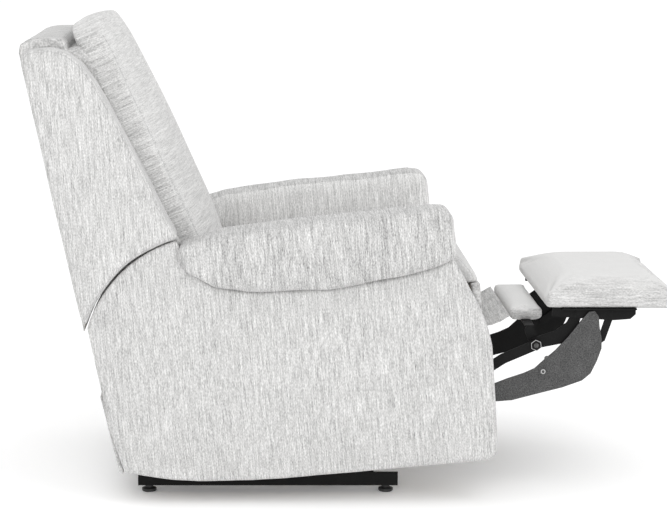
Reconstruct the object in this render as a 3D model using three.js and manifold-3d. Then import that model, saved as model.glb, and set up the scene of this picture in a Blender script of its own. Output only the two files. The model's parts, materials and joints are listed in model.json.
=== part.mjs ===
// A push-back recliner armchair, shown reclined with its footrest out.
// Millimetres, +Z up, front towards -Y, the sitter's left at +X.
// Side profiles are drawn as [forward, up] and extruded across the chair.

import * as THREE from "three";
import { mergeVertices } from "three/addons/utils/BufferGeometryUtils.js";
import Module from "manifold-3d";

const wasm = await Module();
wasm.setup();

// ---------------------------------------------------------------- driving sizes

const CHAIR_HALF_WIDTH = 400; // over the arm rolls
const ARM_ROLL_WIDTH = 135;
const ARM_PANEL_SETBACK = 30; // outer panels sit inside the rolls by this much
const ARM_PANEL = 25; // padded outer panel, and the wings' outer faces line up with it
const INNER_PANEL = 18;
const FACING = 18; // padded panel across the front of each arm
const ARM_BOARD = 18; // plywood arm frame
const SEAT_CLEARANCE = 5; // seat cushion to inner arm panel
const CONTACT_GAP = 0.3; // between pieces that touch
const PIVOT_GAP = 0.3; // radial gap of a rivet in its hole
const SWING_SLACK = 2.3; // extra radial gap where the front swing link closes its loop
const LINK_GAP = 2; // sideways gap between neighbouring link plates
const PANEL_BEVEL = 6;
const ROLL_BEVEL = 22;
const CUSHION_BEVEL = 10;

const BODY_TILT = THREE.MathUtils.degToRad(5.5); // of the seat body when reclined
const SWING_PIN_CLOSED = [-180, 230]; // rear swing pin in the seat body, upright
const SWING_PIN_OPEN = [-110, 211.2]; // the same pin over the base, reclined
const SWING_PIN_FRONT = [200, 230]; // front swing pin in the seat body

const BACK_PIVOT = [-131.1, 335];
const BACK_SWEEP = 296; // radius of the joint line between arms and wings
const SWEEP_GAP = 1.5; // each side of that line

const RAIL_REAR = -247;
const RAIL_FRONT = 353;
const RAIL_STEEL = 4;
const RAIL_FLANGE = 36;
const RAIL_HEIGHT = 32;
const GLIDE_HEIGHT = 17;
const GLIDE_RADIUS = 17;
const GLIDE_PLACES = [-222, 326];
const SWING_PIVOT_REAR = [-193.5, 40];
const SWING_PIVOT_FRONT = [285, 40];

const RIVET = 5;
const RIVET_HEAD = 8.5;
const LINK_STEEL = 4;
const THIN_STEEL = 3;

const DRIVE_PIVOT = [319.1, 395]; // footrest drive links on the seat body
const LONG_LINK_PIVOT = [485, 183];
const BAR_PIVOT_ALONG = 50; // bar pivot on the drive link, from the long link's pivot
const OTTOMAN_PIVOT = [747, 340];
const BAR_END = [607, 287];
const CURVED_LINK_PIVOT = [711, 350];
const FRONT_LINK_PIVOT = [786, 340];
const FRONT_LINK_END = [690, 243];

const OTTOMAN_REAR = 690;
const OTTOMAN_LENGTH = 310;
const OTTOMAN_BOTTOM = 430;
const OTTOMAN_TOP = 475;
const OTTOMAN_EDGE = 15; // padding outside the board's edge
const BOARD = 12;
const SLIM_BOARD = 6;

const PAD_REAR = 620;
const PAD_LENGTH = 72;
const PAD_HALF_WIDTH = 160;
const PAD_BOTTOM = 385;
const PAD_TOP = 410;

const APRON_HINGE = [487, 364];
const APRON_THICKNESS = 3;

const SEAT_UNDERSIDE = 446.3;
const SEAT_REAR = -76;
const SEAT_FRONT = 489;
const FASCIA_BOTTOM = 369;
const FASCIA = 20;
const SEAT_RAIL = 24;
const SEAT_RAIL_TOP = 442;
const SPRING_WIRE = 1.6;
const SPRING_COUNT = 5;

// ---------------------------------------------------------------- stacked link plates
// Places across the chair, from the base rails inwards. Each plate runs from its
// inner face to inner + thickness on the left side, and mirrored on the right.

const ROLL_INNER = CHAIR_HALF_WIDTH - ARM_ROLL_WIDTH;
const RAIL_OUTER = ROLL_INNER + 7; // outer face of the base rails
const RAIL_WEB = RAIL_OUTER - RAIL_STEEL;
const SWING_LAYER = RAIL_WEB - LINK_GAP - LINK_STEEL - 0.5;
const PLATE_LAYER = SWING_LAYER - 11.5; // the fixed plates bolted under the seat
const BAR_LAYER = PLATE_LAYER - LINK_GAP - THIN_STEEL;
const DRIVE_LAYER = BAR_LAYER - 0.5 - LINK_STEEL;
const LONG_LAYER = DRIVE_LAYER - LINK_GAP - LINK_STEEL;
const BRACKET_LAYER = LONG_LAYER - LINK_GAP - THIN_STEEL;
const INNER_LAYER = BRACKET_LAYER - 1 - THIN_STEEL;
const PAD_ARM_LAYER = INNER_LAYER - LINK_GAP - THIN_STEEL;
const HINGE_ARM_LAYER = BAR_LAYER;

const PANEL_OUTER = CHAIR_HALF_WIDTH - ARM_PANEL_SETBACK;
const PANEL_INNER = PANEL_OUTER - ARM_PANEL;
const INNER_PANEL_FACE = ROLL_INNER + 1;
const ARM_BOARD_FACE = INNER_PANEL_FACE + INNER_PANEL + 16;
const SEAT_HALF_WIDTH = ROLL_INNER - SEAT_CLEARANCE;
const BACK_HALF_WIDTH = ROLL_INNER + 9.3; // rear panel between the wings
const BACK_CUSHION_HALF_WIDTH = ROLL_INNER - 3;
const FLAP_HALF_WIDTH = ROLL_INNER - 3;
const OTTOMAN_HALF_WIDTH = ROLL_INNER - 15;
const WING_INNER = BACK_HALF_WIDTH + 0.5;

// ---------------------------------------------------------------- colours

const paint = (color, roughness, metalness) => ({ color, roughness, metalness });
const FABRIC = paint(0xdad9d6, 0.95, 0);
const CUSHION = paint(0xdedddb, 0.95, 0);
const WOOD = paint(0xc9a26b, 0.7, 0);
const BLACK_STEEL = paint(0x2b2c2e, 0.5, 0.6);
const GREY_STEEL = paint(0x85878a, 0.45, 0.7);
const SPRING_STEEL = paint(0x9a9c9e, 0.35, 0.9);
const PLASTIC = paint(0x1d1d1f, 0.6, 0);
const WEBBING = paint(0x4b4a48, 0.9, 0);

// ---------------------------------------------------------------- profile to solid

const [LEFT, RIGHT] = [1, -1];
const SIDES = [["left", LEFT], ["right", RIGHT]];

// Shape x is forward, shape y is up, and the extrusion runs towards -X.
const ACROSS = new THREE.Matrix4().makeBasis(
  new THREE.Vector3(0, -1, 0),
  new THREE.Vector3(0, 0, 1),
  new THREE.Vector3(-1, 0, 0),
);

const outline = (points) => new THREE.Shape(points.map(([u, z]) => new THREE.Vector2(u, z)));

function across(shape, from, to, bevel = 0, segments = 2) {
  const geometry = new THREE.ExtrudeGeometry(shape, {
    depth: to - from - 2 * bevel,
    bevelEnabled: bevel > 0,
    bevelThickness: bevel,
    bevelSize: bevel,
    bevelOffset: -bevel,
    bevelSegments: segments,
    curveSegments: 8,
  });
  geometry.translate(0, 0, bevel - to);
  return geometry.applyMatrix4(ACROSS);
}

// The same profile on either side of the chair, between two distances from its middle.
function sided(side, shape, inner, outer, bevel, segments) {
  const [from, to] = side > 0 ? [inner, outer] : [-outer, -inner];
  return across(shape, from, to, bevel, segments);
}

function block(from, to) {
  const size = to.map((value, axis) => value - from[axis]);
  const middle = to.map((value, axis) => (value + from[axis]) / 2);
  return new THREE.BoxGeometry(...size).translate(...middle);
}

// A pin across the chair at [forward, up], on one side.
function pin(side, [u, z], radius, inner, outer, facets = 16) {
  const rod = new THREE.CylinderGeometry(radius, radius, outer - inner, facets);
  return rod.rotateZ(Math.PI / 2).translate((side * (inner + outer)) / 2, -u, z);
}

function toSolid(geometry) {
  const bare = geometry.clone();
  bare.deleteAttribute("normal");
  bare.deleteAttribute("uv");
  const merged = mergeVertices(bare, 1e-4);
  return new wasm.Manifold(
    new wasm.Mesh({
      numProp: 3,
      vertProperties: merged.attributes.position.array,
      triVerts: new Uint32Array(merged.index.array),
    }),
  );
}

function fromSolid(solid) {
  const { vertProperties, triVerts } = solid.getMesh();
  const geometry = new THREE.BufferGeometry();
  geometry.setAttribute("position", new THREE.BufferAttribute(vertProperties, 3));
  geometry.setIndex(new THREE.BufferAttribute(triVerts, 1));
  geometry.computeVertexNormals();
  return geometry;
}

const fuse = (first, ...rest) =>
  fromSolid(rest.reduce((solid, geometry) => solid.add(toSolid(geometry)), toSolid(first)));

const cut = (first, ...rest) =>
  fromSolid(rest.reduce((solid, geometry) => solid.subtract(toSolid(geometry)), toSolid(first)));

// ---------------------------------------------------------------- points and links

const along = ([au, az], [bu, bz], share) => [au + (bu - au) * share, az + (bz - az) * share];
const distance = ([au, az], [bu, bz]) => Math.hypot(bu - au, bz - az);

function polar([u, z], radius, degrees) {
  const angle = THREE.MathUtils.degToRad(degrees);
  return [u + radius * Math.cos(angle), z + radius * Math.sin(angle)];
}

function arc(centre, radius, from, to, steps) {
  return Array.from({ length: steps + 1 }, (_, i) =>
    polar(centre, radius, from + ((to - from) * i) / steps),
  );
}

// Where a point of the upright seat body stands once the body is reclined.
function reclined([u, z]) {
  const [du, dz] = [u - SWING_PIN_CLOSED[0], z - SWING_PIN_CLOSED[1]];
  const [c, s] = [Math.cos(BODY_TILT), Math.sin(BODY_TILT)];
  return [SWING_PIN_OPEN[0] + c * du - s * dz, SWING_PIN_OPEN[1] + s * du + c * dz];
}

const BAR_PIVOT = along(
  LONG_LINK_PIVOT,
  DRIVE_PIVOT,
  BAR_PIVOT_ALONG / distance(LONG_LINK_PIVOT, DRIVE_PIVOT),
);

function holed(shape, ...centres) {
  for (const [u, z, slack = 0] of centres) {
    const hole = new THREE.Path().absarc(u, z, RIVET + PIVOT_GAP + slack, 0, Math.PI * 2);
    shape.holes.push(hole);
  }
  return shape;
}

// A flat bar with round ends through a chain of points. Its half width is one value,
// or one for each point.
function strap(points, width, holes = []) {
  const halfWidths = points.map((_, i) => (Array.isArray(width) ? width[i] : width));
  const left = [];
  const right = [];
  points.forEach((point, i) => {
    const halfWidth = halfWidths[i];
    const before = points[Math.max(i - 1, 0)];
    const after = points[Math.min(i + 1, points.length - 1)];
    const length = distance(before, after);
    const [nu, nz] = [-(after[1] - before[1]) / length, (after[0] - before[0]) / length];
    left.push([point[0] + nu * halfWidth, point[1] + nz * halfWidth]);
    right.unshift([point[0] - nu * halfWidth, point[1] - nz * halfWidth]);
  });
  const end = (centre, towards, halfWidth) => {
    const heading = THREE.MathUtils.radToDeg(
      Math.atan2(centre[1] - towards[1], centre[0] - towards[0]),
    );
    return arc(centre, halfWidth, heading + 90, heading - 90, 6).slice(1, -1);
  };
  const last = points.length - 1;
  const ring = [
    ...left,
    ...end(points[last], points[last - 1], halfWidths[last]),
    ...right,
    ...end(points[0], points[1], halfWidths[0]),
  ];
  return holed(outline(ring.reverse()), ...holes);
}

// ---------------------------------------------------------------- the assembly

const chair = new THREE.Group();
const seatBody = new THREE.Group(); // drawn upright, then tilted back
const [offsetU, offsetZ] = reclined([0, 0]);
seatBody.position.set(0, -offsetU, offsetZ);
seatBody.rotation.x = -BODY_TILT;
chair.add(seatBody);

function piece(parent, name, geometry, finish) {
  const mesh = new THREE.Mesh(geometry, new THREE.MeshStandardMaterial(finish));
  mesh.name = name;
  parent.add(mesh);
}

// ---------------------------------------------------------------- base

function baseRail(side) {
  const web = block([RAIL_WEB, -RAIL_FRONT, GLIDE_HEIGHT], [RAIL_OUTER, -RAIL_REAR, GLIDE_HEIGHT + RAIL_HEIGHT]);
  const flange = block(
    [RAIL_OUTER - RAIL_FLANGE, -RAIL_FRONT, GLIDE_HEIGHT],
    [RAIL_OUTER, -RAIL_REAR, GLIDE_HEIGHT + RAIL_STEEL],
  );
  const pins = [SWING_PIVOT_REAR, SWING_PIVOT_FRONT].flatMap((place) => [
    pin(LEFT, place, RIVET, SWING_LAYER - 1.5, RAIL_WEB + 1),
    pin(LEFT, place, RIVET_HEAD, SWING_LAYER - 2, SWING_LAYER - CONTACT_GAP),
  ]);
  const rail = fuse(web, flange, ...pins);
  return side === LEFT ? rail : mirrored(rail);
}

// A left-hand piece turned into its right-hand twin.
function mirrored(geometry) {
  const twin = geometry.clone().scale(-1, 1, 1);
  const index = Array.from(twin.index.array);
  for (let i = 0; i < index.length; i += 3) {
    [index[i + 1], index[i + 2]] = [index[i + 2], index[i + 1]];
  }
  twin.setIndex(index);
  return twin;
}

function glide(side, forward) {
  const top = GLIDE_HEIGHT - CONTACT_GAP;
  const section = [[0, 0], [15.5, 0], [GLIDE_RADIUS, 2], [GLIDE_RADIUS, 7], [9, 10], [9, top], [0, top]];
  const foot = new THREE.LatheGeometry(section.map(([r, z]) => new THREE.Vector2(r, z)), 20);
  return foot.rotateX(Math.PI / 2).translate(side * (RAIL_OUTER - RAIL_FLANGE / 2), -forward, 0);
}

function crossbar(forward) {
  const half = 12.5;
  const low = GLIDE_HEIGHT + RAIL_STEEL + CONTACT_GAP;
  const reach = RAIL_WEB - CONTACT_GAP;
  return block([-reach, -forward - half, low], [reach, -forward + half, low + 2 * half]);
}

for (const [name, side] of SIDES) {
  piece(chair, `base_rail_${name}`, baseRail(side), BLACK_STEEL);
  GLIDE_PLACES.forEach((forward, i) => {
    piece(chair, `glide_${["rear", "front"][i]}_${name}`, glide(side, forward), PLASTIC);
  });
}
piece(chair, "base_crossbar_rear", crossbar(-140), BLACK_STEEL);
piece(chair, "base_crossbar_front", crossbar(225), BLACK_STEEL);

// ---------------------------------------------------------------- swing links under the seat

function swingLink(side, foot, head, slack = 0) {
  const shape = strap([foot, head], 13, [foot, [...head, slack]]);
  return sided(side, shape, SWING_LAYER, SWING_LAYER + LINK_STEEL);
}

for (const [name, side] of SIDES) {
  piece(chair, `rear_swing_link_${name}`, swingLink(side, SWING_PIVOT_REAR, SWING_PIN_OPEN), BLACK_STEEL);
  piece(
    chair,
    `front_swing_link_${name}`,
    swingLink(side, SWING_PIVOT_FRONT, reclined(SWING_PIN_FRONT), SWING_SLACK),
    BLACK_STEEL,
  );
}
// ---------------------------------------------------------------- arms

const ROLL_UNDERSIDE = [
  [426, 531], [392, 518], [302, 500], [145, 488], [-33, 498], [-109, 517], [-160, 556], [-173, 588],
];
const ROLL_TOP = [
  [-165, 612], [-82, 631], [93, 639], [272, 638], [384, 642], [417, 637], [429, 618], [431, 560],
];
const ARM_FRONT = [[491, 104], [494, 197], [496, 312], [490, 352], [467, 429], [446, 481], [429, 519]];
const ARM_BOTTOM = [[-356, 106], [-254, 80], [-187, 70], [-74, 61], [39, 59], [467, 57], [487, 68]];
const ARM_REAR = [[-403, 440], [-395, 352], [-377, 211]];
const ARM_SWEEP = arc(BACK_PIVOT, BACK_SWEEP - SWEEP_GAP, 100.5, 158, 12);

const lowered = (points, drop) => points.map(([u, z]) => [u, z - drop]);

// The panels stop short of the roll that lies on them.
const rollBed = lowered(ROLL_UNDERSIDE, 1.2);
const armOutline = outline([...ARM_BOTTOM, ...ARM_FRONT, ...rollBed, ...ARM_SWEEP, ...ARM_REAR]);

const setBack = (points, by) => points.map(([u, z]) => [u - by, z]);
const FACING_TOP = 514;
const facingFront = [[487, 68], ...ARM_FRONT.slice(0, -1), [430, FACING_TOP]];
const facingOutline = outline([...facingFront, ...setBack(facingFront, FACING).reverse()]);

const innerFoot = SEAT_UNDERSIDE;
const innerFront = setBack([[460, innerFoot], [446, 481], [430, FACING_TOP]], FACING + CONTACT_GAP);
const innerOutline = outline([
  [-402, innerFoot], ...innerFront, [390, 516.6], ...rollBed.slice(2), ...ARM_SWEEP.slice(0, -1),
]);

function armBoard(side) {
  const rim = outline([
    [-342, 112], [468, 82], [468, 300], [430, 420], [390, 470], [145, 470], [-60, 478], [-140, 510],
    [-250, 540], [-372, 430], [-366, 300],
  ]);
  const windows = [
    outline([[-290, 150], [40, 138], [40, 420], [-300, 420]]),
    outline([[90, 136], [420, 126], [420, 290], [396, 410], [90, 420]]),
  ];
  rim.holes.push(...windows);
  return sided(side, rim, ARM_BOARD_FACE, ARM_BOARD_FACE + ARM_BOARD);
}

for (const [name, side] of SIDES) {
  const panel = sided(side, armOutline, PANEL_INNER, PANEL_OUTER, PANEL_BEVEL, 1);
  piece(seatBody, `arm_outer_panel_${name}`, panel, FABRIC);
  const inner = sided(side, innerOutline, INNER_PANEL_FACE, INNER_PANEL_FACE + INNER_PANEL, 4, 1);
  piece(seatBody, `arm_inner_panel_${name}`, inner, FABRIC);
  const roll = outline([...ROLL_TOP, ...ROLL_UNDERSIDE].reverse());
  piece(
    seatBody,
    `arm_roll_${name}`,
    sided(side, roll, ROLL_INNER, CHAIR_HALF_WIDTH, ROLL_BEVEL, 3),
    FABRIC,
  );
  const facing = sided(side, facingOutline, INNER_PANEL_FACE, PANEL_INNER - CONTACT_GAP);
  piece(seatBody, `arm_front_panel_${name}`, facing, FABRIC);
  piece(seatBody, `arm_frame_${name}`, armBoard(side), WOOD);
}

// ---------------------------------------------------------------- seat

const railReach = ARM_BOARD_FACE - CONTACT_GAP;
const railBottom = SEAT_RAIL_TOP - SEAT_RAIL + 4;
const FRONT_RAIL = [416, 440];
const REAR_RAIL = [-108, -84];

function seatRail([rear, front]) {
  return block([-railReach, -front, railBottom], [railReach, -rear, SEAT_RAIL_TOP]);
}

function sideRail(side) {
  const profile = outline([
    [REAR_RAIL[1] + CONTACT_GAP, railBottom], [FRONT_RAIL[0] - CONTACT_GAP, railBottom],
    [FRONT_RAIL[0] - CONTACT_GAP, SEAT_RAIL_TOP], [REAR_RAIL[1] + CONTACT_GAP, SEAT_RAIL_TOP],
  ]);
  return sided(side, profile, PLATE_LAYER - 28, PLATE_LAYER - CONTACT_GAP);
}

function springWire(x) {
  const waves = 9;
  const reach = 20;
  const height = SEAT_RAIL_TOP + SPRING_WIRE + 0.6;
  const points = [];
  for (let i = 0; i <= waves * 2; i += 1) {
    const u = REAR_RAIL[0] + 12 + ((FRONT_RAIL[1] - REAR_RAIL[0] - 24) * i) / (waves * 2);
    const swing = i === 0 || i === waves * 2 ? 0 : i % 2 ? reach : -reach;
    points.push(new THREE.Vector3(x + swing, -u, height));
  }
  const route = new THREE.CatmullRomCurve3(points, false, "catmullrom", 0.5);
  const section = new THREE.Shape().absarc(0, 0, SPRING_WIRE, 0, Math.PI * 2);
  return new THREE.ExtrudeGeometry(section, {
    steps: waves * 4,
    curveSegments: 3,
    extrudePath: route,
  });
}

// The wires hook into one clip rod on each of the two rails.
function seatSprings() {
  const wires = Array.from({ length: SPRING_COUNT }, (_, i) => springWire((i - 2) * 84));
  const rods = [REAR_RAIL[0] + 12, FRONT_RAIL[1] - 12].map((u) => {
    const height = SEAT_RAIL_TOP + SPRING_WIRE + 0.6;
    return block([-190, -u - 2, height - 1.2], [190, -u + 2, height + 1.2]);
  });
  return fuse(...rods, ...wires);
}

const SEAT_TOP = [[480, 470], [449, 513], [410, 518], [200, 503], [-70, 468]];
const seatOutline = outline([[SEAT_REAR, SEAT_UNDERSIDE], [SEAT_FRONT, SEAT_UNDERSIDE], ...SEAT_TOP]);
const fasciaProfile = outline([
  [SEAT_FRONT - FASCIA, FASCIA_BOTTOM], [SEAT_FRONT, FASCIA_BOTTOM],
  [SEAT_FRONT + 1, SEAT_UNDERSIDE - CONTACT_GAP], [SEAT_FRONT - FASCIA, SEAT_UNDERSIDE - CONTACT_GAP],
]);

piece(seatBody, "seat_front_rail", seatRail(FRONT_RAIL), WOOD);
piece(seatBody, "seat_rear_rail", seatRail(REAR_RAIL), WOOD);
for (const [name, side] of SIDES) {
  piece(seatBody, `seat_side_rail_${name}`, sideRail(side), WOOD);
}
piece(seatBody, "seat_springs", seatSprings(), SPRING_STEEL);
piece(seatBody, "seat_cushion", across(seatOutline, -SEAT_HALF_WIDTH, SEAT_HALF_WIDTH, CUSHION_BEVEL), CUSHION);
piece(seatBody, "seat_front_panel", across(fasciaProfile, -SEAT_HALF_WIDTH, SEAT_HALF_WIDTH), FABRIC);

// The cloth panel across the back of the body. Its upper part is narrow enough
// for the reclining wings to pass outside it.
const FLAP_TOP = 385;
const FLAP_WIDE_TOP = 285;
const FLAP_BOTTOM = 98;
const flapEdge = (z) => -375 - ((z - FLAP_BOTTOM) * 43) / 299;
const flapProfile = (top) =>
  outline([[flapEdge(FLAP_BOTTOM), FLAP_BOTTOM], [flapEdge(FLAP_BOTTOM) + 10, FLAP_BOTTOM],
    [flapEdge(top) + 10, top], [flapEdge(top), top]]);
const flapWideReach = PANEL_INNER - 2;
piece(
  seatBody,
  "rear_lower_panel",
  fuse(
    across(flapProfile(FLAP_TOP), -FLAP_HALF_WIDTH, FLAP_HALF_WIDTH),
    across(flapProfile(FLAP_WIDE_TOP), -flapWideReach, flapWideReach),
  ),
  FABRIC,
);

// ---------------------------------------------------------------- fixed mechanism plates

function mechanismPlate(side) {
  const shape = outline([
    [-200, 212], [225, 212], [345, 378], [345, 416], [-100, 416], [-150, 352], [-205, 246],
  ]);
  const plate = sided(LEFT, shape, PLATE_LAYER, PLATE_LAYER + LINK_STEEL);
  const outward = [SWING_PIN_CLOSED, SWING_PIN_FRONT].flatMap((place) => [
    pin(LEFT, place, RIVET, PLATE_LAYER + 1, SWING_LAYER + LINK_STEEL + 1),
    pin(LEFT, place, RIVET_HEAD, SWING_LAYER + LINK_STEEL + CONTACT_GAP, SWING_LAYER + LINK_STEEL + 2),
    pin(LEFT, place, RIVET_HEAD, PLATE_LAYER + 1, SWING_LAYER - CONTACT_GAP),
  ]);
  const inward = (place, layer) => [
    pin(LEFT, place, RIVET, layer - 1, PLATE_LAYER + 1),
    pin(LEFT, place, RIVET_HEAD, layer - 1.5, layer - CONTACT_GAP),
  ];
  const pins = [...inward(DRIVE_PIVOT, DRIVE_LAYER), ...inward(BACK_PIVOT, HINGE_ARM_LAYER)];
  const made = fuse(plate, ...outward, ...pins);
  return side === LEFT ? made : mirrored(made);
}

for (const [name, side] of SIDES) {
  piece(seatBody, `mechanism_plate_${name}`, mechanismPlate(side), BLACK_STEEL);
}

// ---------------------------------------------------------------- backrest

const WING_FRONT = [
  [-180, 630], [-204, 681], [-230, 751], [-265, 841], [-300, 929], [-326, 986], [-354, 1035], [-384, 1062],
];
const WING_REAR = [[-416, 1074], [-464, 1074], [-480, 1066], [-485, 1050], [-417, 472]];
const wingSweep = arc(BACK_PIVOT, BACK_SWEEP + SWEEP_GAP, 157, 99.7, 12);
const wingOutline = outline([...wingSweep, ...WING_FRONT.slice(1), ...WING_REAR].reverse());

// Its top is padded and reaches forward over the back frame. Its lower edge is a skirt
// that hangs over the rear panel and passes outside it.
const shellOutline = outline([
  [-392, 484], [-395, 600], [-437, 1047], [-394, 1047], [-387, 1058], [-388, 1078], [-400, 1091],
  [-450, 1096], [-472, 1095], [-492, 1084], [-496, 1066],
  [-424, 466], [-429, 372], [-424.5, 372], [-415, 420], [-399, 470],
]);

const cushionOutline = outline([
  [-370, 1086], [-330, 950], [-262, 700], [-208, 500], [-192, 446], [-86, 457], [-92, 500], [-108, 579],
  [-139, 665], [-171, 750], [-207, 860], [-247, 975], [-274, 1060], [-292, 1100],
].reverse());

const UPRIGHT_FOOT = [-232, 452];
const UPRIGHT_HEAD = [-402, 1040];
const UPRIGHT_INNER = HINGE_ARM_LAYER - 29;
const HINGE_ARM_TOP = along(UPRIGHT_FOOT, UPRIGHT_HEAD, 0.24);

function backFrame() {
  const upright = outline([
    [UPRIGHT_FOOT[0] - 16, UPRIGHT_FOOT[1] - 4], [UPRIGHT_FOOT[0] + 12, UPRIGHT_FOOT[1] - 4],
    [UPRIGHT_HEAD[0] + 14, UPRIGHT_HEAD[1]], [UPRIGHT_HEAD[0] - 14, UPRIGHT_HEAD[1]],
  ]);
  const posts = [LEFT, RIGHT].map((side) => sided(side, upright, UPRIGHT_INNER, HINGE_ARM_LAYER - CONTACT_GAP));
  const rails = [0.05, 0.48, 0.96].map((share) => {
    const [u, z] = along(UPRIGHT_FOOT, UPRIGHT_HEAD, share);
    const reach = UPRIGHT_INNER + 2;
    return block([-reach, -u - 6, z - 20], [reach, -u + 14, z + 20]);
  });
  return fuse(...posts, ...rails);
}

function hingeArm(side) {
  const shape = strap([BACK_PIVOT, UPRIGHT_FOOT, HINGE_ARM_TOP], 14, [BACK_PIVOT]);
  return sided(side, shape, HINGE_ARM_LAYER, HINGE_ARM_LAYER + THIN_STEEL);
}

// Elastic straps stretched across the front of the back frame, tied by two tapes.
function backStraps() {
  const band = (low, high, ahead, thick) => {
    const [foot, head] = [low, high].map((share) => along(UPRIGHT_FOOT, UPRIGHT_HEAD, share));
    return outline([
      [foot[0] + ahead, foot[1]], [foot[0] + ahead + thick, foot[1]],
      [head[0] + ahead + thick, head[1]], [head[0] + ahead, head[1]],
    ]);
  };
  const reach = HINGE_ARM_LAYER - 6;
  const straps = [0.16, 0.3, 0.64, 0.8].map((share) =>
    across(band(share - 0.04, share + 0.04, 14.5, 2), -reach, reach),
  );
  const tapes = [LEFT, RIGHT].map((side) => sided(side, band(0.1, 0.86, 15.7, 1.5), 60, 108));
  return fuse(...straps, ...tapes);
}

piece(seatBody, "back_frame", backFrame(), WOOD);
piece(seatBody, "back_straps", backStraps(), WEBBING);
piece(seatBody, "back_cushion", across(cushionOutline, -BACK_CUSHION_HALF_WIDTH, BACK_CUSHION_HALF_WIDTH, CUSHION_BEVEL), CUSHION);
piece(seatBody, "back_outer_panel", across(shellOutline, -BACK_HALF_WIDTH, BACK_HALF_WIDTH), FABRIC);
for (const [name, side] of SIDES) {
  piece(seatBody, `back_wing_${name}`, sided(side, wingOutline, WING_INNER, PANEL_OUTER, 10, 2), FABRIC);
  piece(seatBody, `back_hinge_arm_${name}`, hingeArm(side), BLACK_STEEL);
}

// ---------------------------------------------------------------- footrest linkage

// Each link is one plate with the rivets that it carries, fused on its left-hand form.
function linkage(side, shape, layer, steel, ...rivets) {
  const plate = across(shape, layer, layer + steel);
  const made = rivets.length ? fuse(plate, ...rivets.flat()) : plate;
  if (side === LEFT) return made;
  return made.index ? mirrored(made) : sided(RIGHT, shape, layer, layer + steel);
}

// A rivet reaching inwards from one plate through its neighbour, with a head behind it.
function rivetInward(place, layer, nextLayer, head = 1.2) {
  const face = nextLayer - CONTACT_GAP;
  return [
    pin(LEFT, place, RIVET, face - head, layer + 1),
    pin(LEFT, place, RIVET_HEAD, face - head, face),
  ];
}
const FLAT_HEAD = BRACKET_LAYER - INNER_LAYER - THIN_STEEL - 2 * CONTACT_GAP; // clears the inner links
const rivetFace = (place, face, height, radius = RIVET_HEAD) => [
  pin(LEFT, place, radius, face - 1, face + height),
];

function driveLink(side) {
  const shape = strap([DRIVE_PIVOT, LONG_LINK_PIVOT], 14, [DRIVE_PIVOT]);
  const outerFace = DRIVE_LAYER + LINK_STEEL;
  return linkage(
    side, shape, DRIVE_LAYER, LINK_STEEL,
    rivetInward(LONG_LINK_PIVOT, DRIVE_LAYER, LONG_LAYER),
    [
      pin(LEFT, BAR_PIVOT, RIVET, outerFace - 1, BAR_LAYER + THIN_STEEL + 1),
      pin(LEFT, BAR_PIVOT, RIVET_HEAD, BAR_LAYER + THIN_STEEL + CONTACT_GAP, BAR_LAYER + THIN_STEEL + 1.2),
    ],
  );
}

// The wide curved plate that lifts the footrest.
const LONG_LINK = [
  [749, 351], [757, 337], [757, 314], [760, 283], [758, 262], [746, 235], [729, 206], [708, 191],
  [661, 179], [610, 171], [543, 160], [485, 161], [463, 171], [461, 191], [485, 205],
  [509, 204], [536, 212], [575, 221], [601, 230], [623, 247], [652, 268], [685, 298],
  [709, 324], [722, 338], [736, 351],
];
const STOP_RING = [620, 221];
const STOP_BOLT = [631, 251];

function longLink(side) {
  const shape = holed(outline([...LONG_LINK].reverse()), LONG_LINK_PIVOT);
  const outerFace = LONG_LAYER + LINK_STEEL;
  return linkage(
    side, shape, LONG_LAYER, LINK_STEEL,
    rivetInward(OTTOMAN_PIVOT, LONG_LAYER, BRACKET_LAYER, FLAT_HEAD),
    rivetFace(OTTOMAN_PIVOT, outerFace, 1.5, 6),
    rivetFace(STOP_RING, outerFace, 1.5),
    rivetFace(STOP_BOLT, outerFace, 1.5, 6),
  );
}

function barLink(side) {
  const shape = strap([BAR_PIVOT, [530, 262], BAR_END], 12, [BAR_PIVOT]);
  return linkage(side, shape, BAR_LAYER, THIN_STEEL);
}

function curvedLink(side) {
  const bend = [662, 296];
  const shape = strap(
    [CURVED_LINK_PIVOT, [694, 318], bend, BAR_END],
    [11, 15, 17, 13],
    [CURVED_LINK_PIVOT],
  );
  return linkage(
    side, shape, INNER_LAYER, THIN_STEEL,
    [pin(LEFT, BAR_END, RIVET, INNER_LAYER + 1, BAR_LAYER - CONTACT_GAP)],
    rivetInward(BAR_END, INNER_LAYER, PAD_ARM_LAYER),
  );
}

function frontLink(side) {
  const bend = [762, 284];
  const shape = strap([FRONT_LINK_PIVOT, bend, FRONT_LINK_END], 9, [FRONT_LINK_PIVOT]);
  return linkage(side, shape, INNER_LAYER, THIN_STEEL);
}

for (const [name, side] of SIDES) {
  piece(seatBody, `drive_link_${name}`, driveLink(side), BLACK_STEEL);
  piece(seatBody, `long_link_${name}`, longLink(side), GREY_STEEL);
  piece(seatBody, `bar_link_${name}`, barLink(side), BLACK_STEEL);
  piece(seatBody, `curved_link_${name}`, curvedLink(side), BLACK_STEEL);
  piece(seatBody, `front_link_${name}`, frontLink(side), BLACK_STEEL);
}
const DRIVE_TUBE_DOWN = 60;
piece(
  seatBody,
  "drive_tube",
  pin(
    LEFT,
    along(DRIVE_PIVOT, LONG_LINK_PIVOT, DRIVE_TUBE_DOWN / distance(DRIVE_PIVOT, LONG_LINK_PIVOT)),
    9,
    CONTACT_GAP - DRIVE_LAYER,
    DRIVE_LAYER - CONTACT_GAP,
  ),
  BLACK_STEEL,
);

// ---------------------------------------------------------------- footrest and small pad
// Both stand level when the chair is reclined, so they are drawn level.

const ottomanFront = OTTOMAN_REAR + OTTOMAN_LENGTH;
const boardBottom = OTTOMAN_BOTTOM - 2;

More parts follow.
